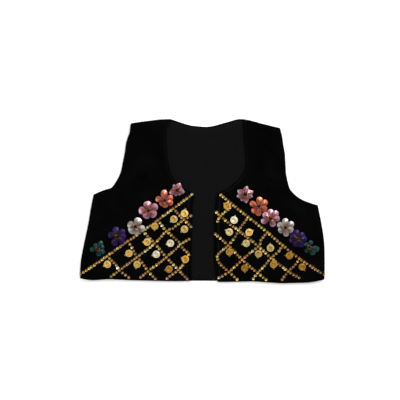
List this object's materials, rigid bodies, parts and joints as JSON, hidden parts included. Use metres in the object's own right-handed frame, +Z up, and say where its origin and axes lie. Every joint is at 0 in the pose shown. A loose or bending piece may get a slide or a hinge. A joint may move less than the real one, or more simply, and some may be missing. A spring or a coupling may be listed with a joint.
{
  "type": "embroidered folk vest, laid flat",
  "caption": "Short black velvet folk vest, open at the front and laid flat, with a gold sequin trellis, hanging coins and a row of petalled flowers on each front.",
  "frame": {"origin": "on the ground under the middle of the outline", "axes": "+X towards the wearer's left, along the hem; +Y towards the neck; +Z up, away from the surface the vest lies on"},
  "size_m": [0.391, 0.2626, 0.012],
  "materials": {
    "coin": "stamped brass, bright",
    "coral": "pearly coral petals",
    "lining": "charcoal plain-weave lining",
    "mauve": "pearly mauve petals",
    "orange": "pearly orange petals",
    "pink": "pearly pink petals",
    "purple": "pearly violet petals",
    "sequins": "metallised gold cup sequins",
    "teal": "pearly teal petals",
    "velvet": "black cotton velvet, short dense pile",
    "white": "pearl white petals"
  },
  "bodies": {
    "vest": {"back": "velvet", "back_lining": "lining", "flower_left_mauve": "mauve", "flower_left_orange": "orange", "flower_left_pink": "pink", "flower_left_purple": "purple", "flower_left_teal": "teal", "flower_left_white": "white", "flower_right_coral": "coral", "flower_right_mauve": "mauve", "flower_right_pink": "pink", "flower_right_purple": "purple", "flower_right_teal": "teal", "flower_right_white": "white", "front_left": "velvet", "front_right": "velvet", "trellis_left": "sequins", "trellis_right": "sequins"},
    "coin_left_01": {"coin_left_01": "coin"},
    "coin_left_02": {"coin_left_02": "coin"},
    "coin_left_03": {"coin_left_03": "coin"},
    "coin_left_04": {"coin_left_04": "coin"},
    "coin_left_05": {"coin_left_05": "coin"},
    "coin_left_06": {"coin_left_06": "coin"},
    "coin_left_07": {"coin_left_07": "coin"},
    "coin_left_08": {"coin_left_08": "coin"},
    "coin_left_09": {"coin_left_09": "coin"},
    "coin_left_10": {"coin_left_10": "coin"},
    "coin_left_11": {"coin_left_11": "coin"},
    "coin_left_12": {"coin_left_12": "coin"},
    "coin_right_01": {"coin_right_01": "coin"},
    "coin_right_02": {"coin_right_02": "coin"},
    "coin_right_03": {"coin_right_03": "coin"},
    "coin_right_04": {"coin_right_04": "coin"},
    "coin_right_05": {"coin_right_05": "coin"},
    "coin_right_06": {"coin_right_06": "coin"},
    "coin_right_07": {"coin_right_07": "coin"},
    "coin_right_08": {"coin_right_08": "coin"},
    "coin_right_09": {"coin_right_09": "coin"},
    "coin_right_10": {"coin_right_10": "coin"},
    "coin_right_11": {"coin_right_11": "coin"},
    "coin_right_12": {"coin_right_12": "coin"}
  },
  "joints": [
    {"name": "lift_left_01", "type": "hinge", "parent": "vest", "child": "coin_left_01", "pos_m": [0.03412, -0.00319, 0.0068], "axis": [-0.5592, -0.829, 0], "range_deg": [0, 120]},
    {"name": "lift_left_02", "type": "hinge", "parent": "vest", "child": "coin_left_02", "pos_m": [0.05286, -0.02253, 0.00696], "axis": [-0.9703, 0.2419, 0], "range_deg": [0, 120]},
    {"name": "lift_left_03", "type": "hinge", "parent": "vest", "child": "coin_left_03", "pos_m": [0.03658, -0.04562, 0.00691], "axis": [-0.4384, -0.8988, 0], "range_deg": [0, 120]},
    {"name": "lift_left_04", "type": "hinge", "parent": "vest", "child": "coin_left_04", "pos_m": [0.08198, -0.04625, 0.00727], "axis": [-0.4226, 0.9063, 0], "range_deg": [0, 120]},
    {"name": "lift_left_05", "type": "hinge", "parent": "vest", "child": "coin_left_05", "pos_m": [0.06306, -0.06899, 0.00702], "axis": [0.2588, -0.9659, 0], "range_deg": [0, 120]},
    {"name": "lift_left_06", "type": "hinge", "parent": "vest", "child": "coin_left_06", "pos_m": [0.08827, -0.091, 0.00719], "axis": [0.9744, -0.225, 0], "range_deg": [0, 120]},
    {"name": "lift_left_07", "type": "hinge", "parent": "vest", "child": "coin_left_07", "pos_m": [0.1086, -0.06681, 0.00734], "axis": [-0.9986, -0.0523, 0], "range_deg": [0, 120]},
    {"name": "lift_left_08", "type": "hinge", "parent": "vest", "child": "coin_left_08", "pos_m": [0.04377, -0.08819, 0.00693], "axis": [0.9994, 0.0349, 0], "range_deg": [0, 120]},
    {"name": "lift_left_09", "type": "hinge", "parent": "vest", "child": "coin_left_09", "pos_m": [0.06787, -0.1142, 0.0068], "axis": [0.9998, -0.0175, 0], "range_deg": [0, 120]},
    {"name": "lift_left_10", "type": "hinge", "parent": "vest", "child": "coin_left_10", "pos_m": [0.114, -0.1082, 0.00717], "axis": [1, 0, 0], "range_deg": [0, 120]},
    {"name": "lift_left_11", "type": "hinge", "parent": "vest", "child": "coin_left_11", "pos_m": [0.1318, -0.0865, 0.00744], "axis": [0, -1, 0], "range_deg": [0, 120]},
    {"name": "lift_left_12", "type": "hinge", "parent": "vest", "child": "coin_left_12", "pos_m": [0.16358, -0.11103, 0.008], "axis": [0.848, 0.5299, 0], "range_deg": [0, 120]},
    {"name": "lift_right_01", "type": "hinge", "parent": "vest", "child": "coin_right_01", "pos_m": [-0.15798, -0.10375, 0.00794], "axis": [0.4226, -0.9063, 0], "range_deg": [0, 120]},
    {"name": "lift_right_02", "type": "hinge", "parent": "vest", "child": "coin_right_02", "pos_m": [-0.1233, -0.08661, 0.00768], "axis": [0.4695, -0.8829, 0], "range_deg": [0, 120]},
    {"name": "lift_right_03", "type": "hinge", "parent": "vest", "child": "coin_right_03", "pos_m": [-0.10613, -0.10774, 0.00726], "axis": [0.9397, -0.342, 0], "range_deg": [0, 120]},
    {"name": "lift_right_04", "type": "hinge", "parent": "vest", "child": "coin_right_04", "pos_m": [-0.0952, -0.065, 0.00714], "axis": [0, -1, 0], "range_deg": [0, 120]},
    {"name": "lift_right_05", "type": "hinge", "parent": "vest", "child": "coin_right_05", "pos_m": [-0.0759, -0.04719, 0.00701], "axis": [0.9986, -0.0523, 0], "range_deg": [0, 120]},
    {"name": "lift_right_06", "type": "hinge", "parent": "vest", "child": "coin_right_06", "pos_m": [-0.05131, -0.03292, 0.00696], "axis": [0.5736, -0.8192, 0], "range_deg": [0, 120]},
    {"name": "lift_right_07", "type": "hinge", "parent": "vest", "child": "coin_right_07", "pos_m": [-0.02666, -0.01192, 0.00677], "axis": [-0.9848, 0.1736, 0], "range_deg": [0, 120]},
    {"name": "lift_right_08", "type": "hinge", "parent": "vest", "child": "coin_right_08", "pos_m": [-0.03381, -0.04955, 0.00691], "axis": [0.6561, -0.7547, 0], "range_deg": [0, 120]},
    {"name": "lift_right_09", "type": "hinge", "parent": "vest", "child": "coin_right_09", "pos_m": [-0.05794, -0.06899, 0.00696], "axis": [0.2588, -0.9659, 0], "range_deg": [0, 120]},
    {"name": "lift_right_10", "type": "hinge", "parent": "vest", "child": "coin_right_10", "pos_m": [-0.08036, -0.08675, 0.00701], "axis": [0.2924, -0.9563, 0], "range_deg": [0, 120]},
    {"name": "lift_right_11", "type": "hinge", "parent": "vest", "child": "coin_right_11", "pos_m": [-0.03374, -0.08987, 0.00691], "axis": [-0.342, -0.9397, 0], "range_deg": [0, 120]},
    {"name": "lift_right_12", "type": "hinge", "parent": "vest", "child": "coin_right_12", "pos_m": [-0.0601, -0.11003, 0.00692], "axis": [0.225, -0.9744, 0], "range_deg": [0, 120]}
  ]
}
